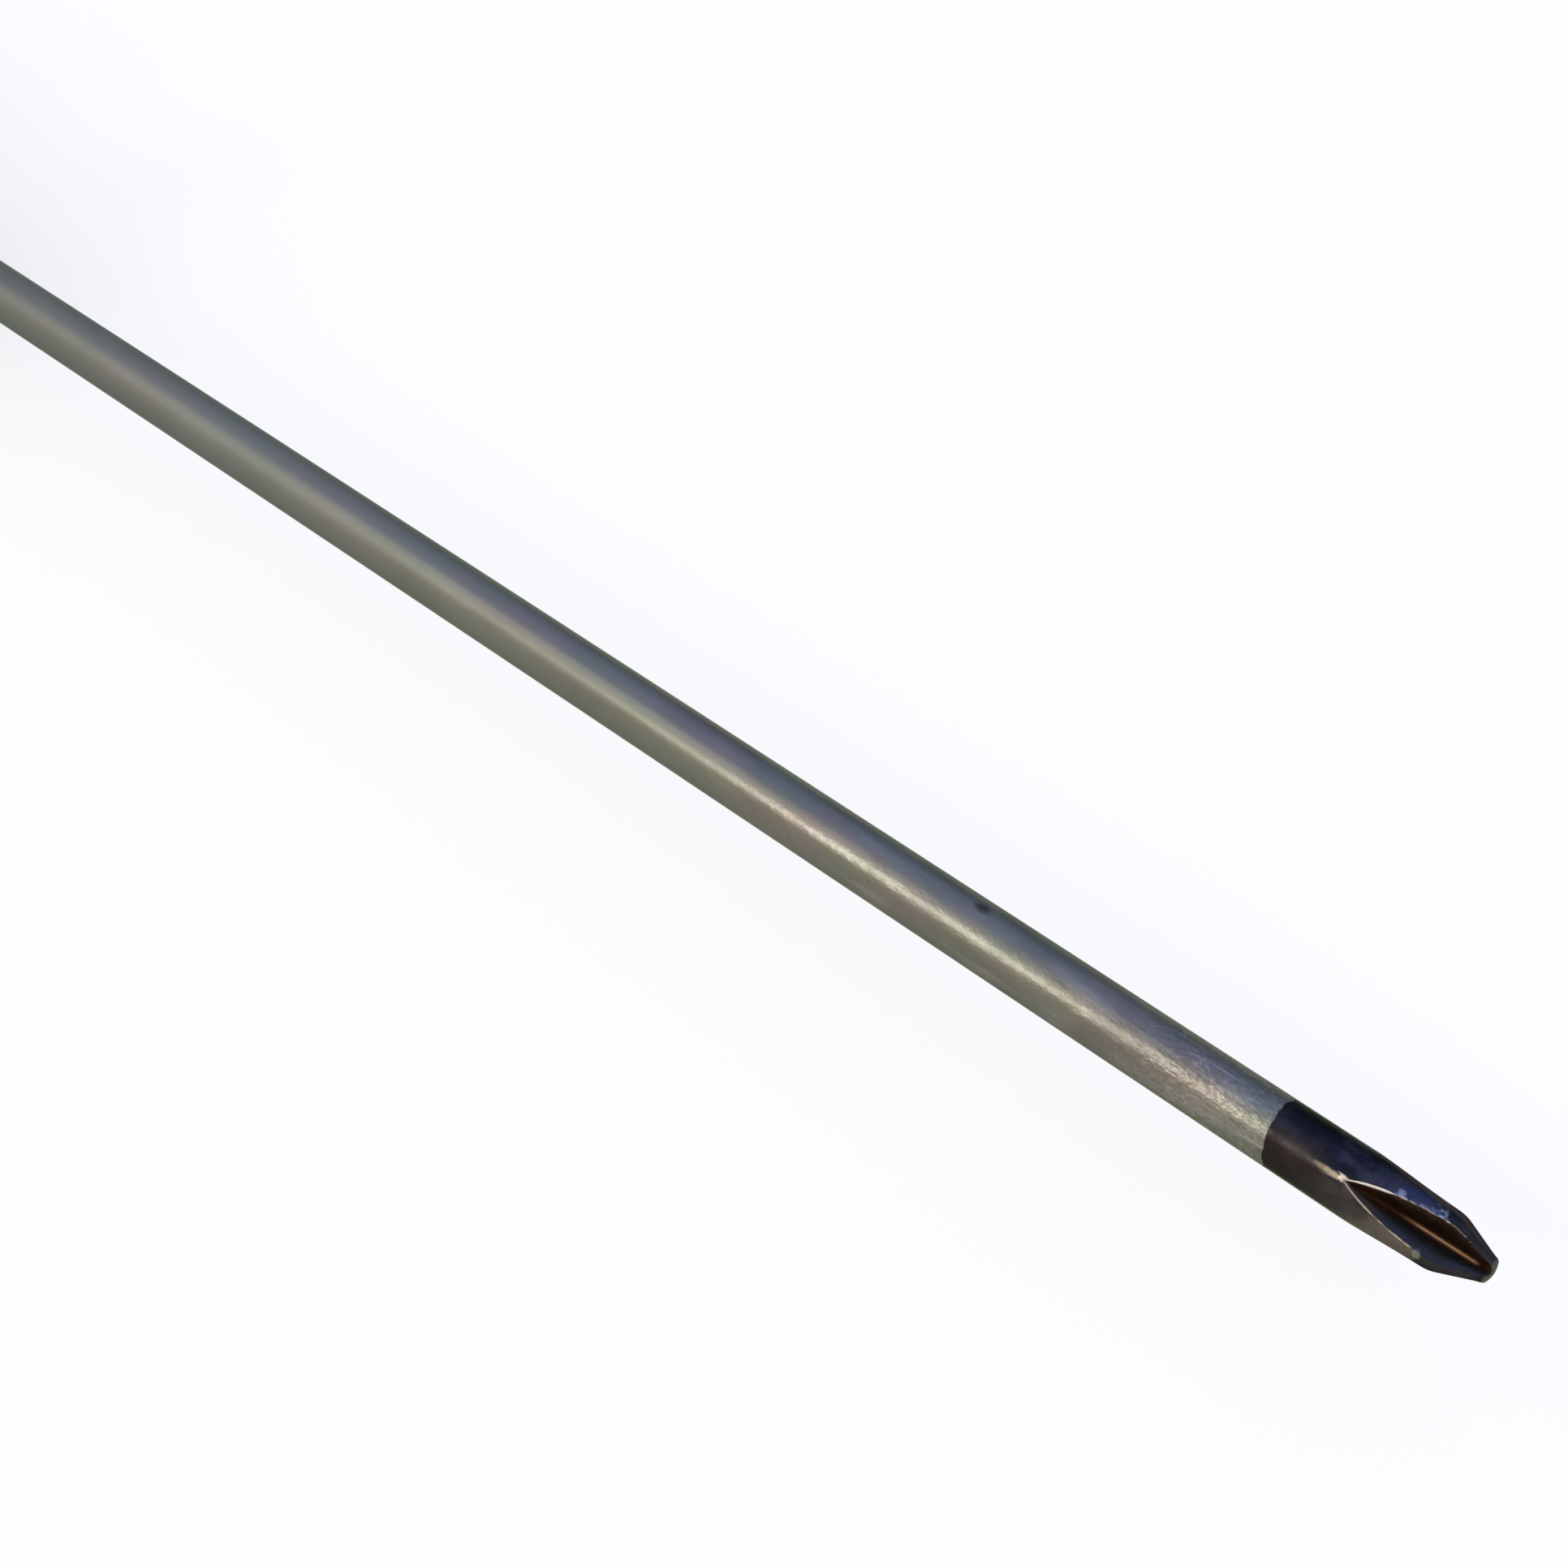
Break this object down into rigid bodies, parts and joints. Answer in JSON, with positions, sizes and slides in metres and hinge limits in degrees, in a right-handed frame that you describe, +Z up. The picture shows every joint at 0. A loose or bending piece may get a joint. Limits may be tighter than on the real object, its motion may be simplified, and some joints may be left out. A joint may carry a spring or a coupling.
{
  "type": "cross-head screwdriver",
  "caption": "Hand screwdriver with a cross-head point on a long round plated blade, and a waisted hexagonal handle with a hard nose, soft inlaid pads and a capped end.",
  "frame": {"origin": "middle of the tool's length, straight below the blade's axis, on the plane that it lies on", "axes": "+X along the blade towards the point, +Y across the handle from corner to corner, +Z up, square to a side of the handle"},
  "size_m": [0.322, 0.035, 0.032],
  "materials": {
    "blade_steel": "satin nickel plate, with the point left in dark oxide",
    "core_plastic": "hard black moulding",
    "body_plastic": "hard blue moulding, semi-gloss",
    "pad_rubber": "soft charcoal moulding",
    "disc_plastic": "hard light grey moulding"
  },
  "bodies": {
    "root": {"blade": "blade_steel", "handle_core": "core_plastic", "handle_body": "body_plastic", "grip_pad_1": "pad_rubber", "grip_pad_2": "pad_rubber", "grip_pad_3": "pad_rubber", "grip_pad_4": "pad_rubber", "grip_pad_5": "pad_rubber", "grip_pad_6": "pad_rubber", "end_cap": "core_plastic", "cap_disc": "disc_plastic"}
  },
  "joints": []
}
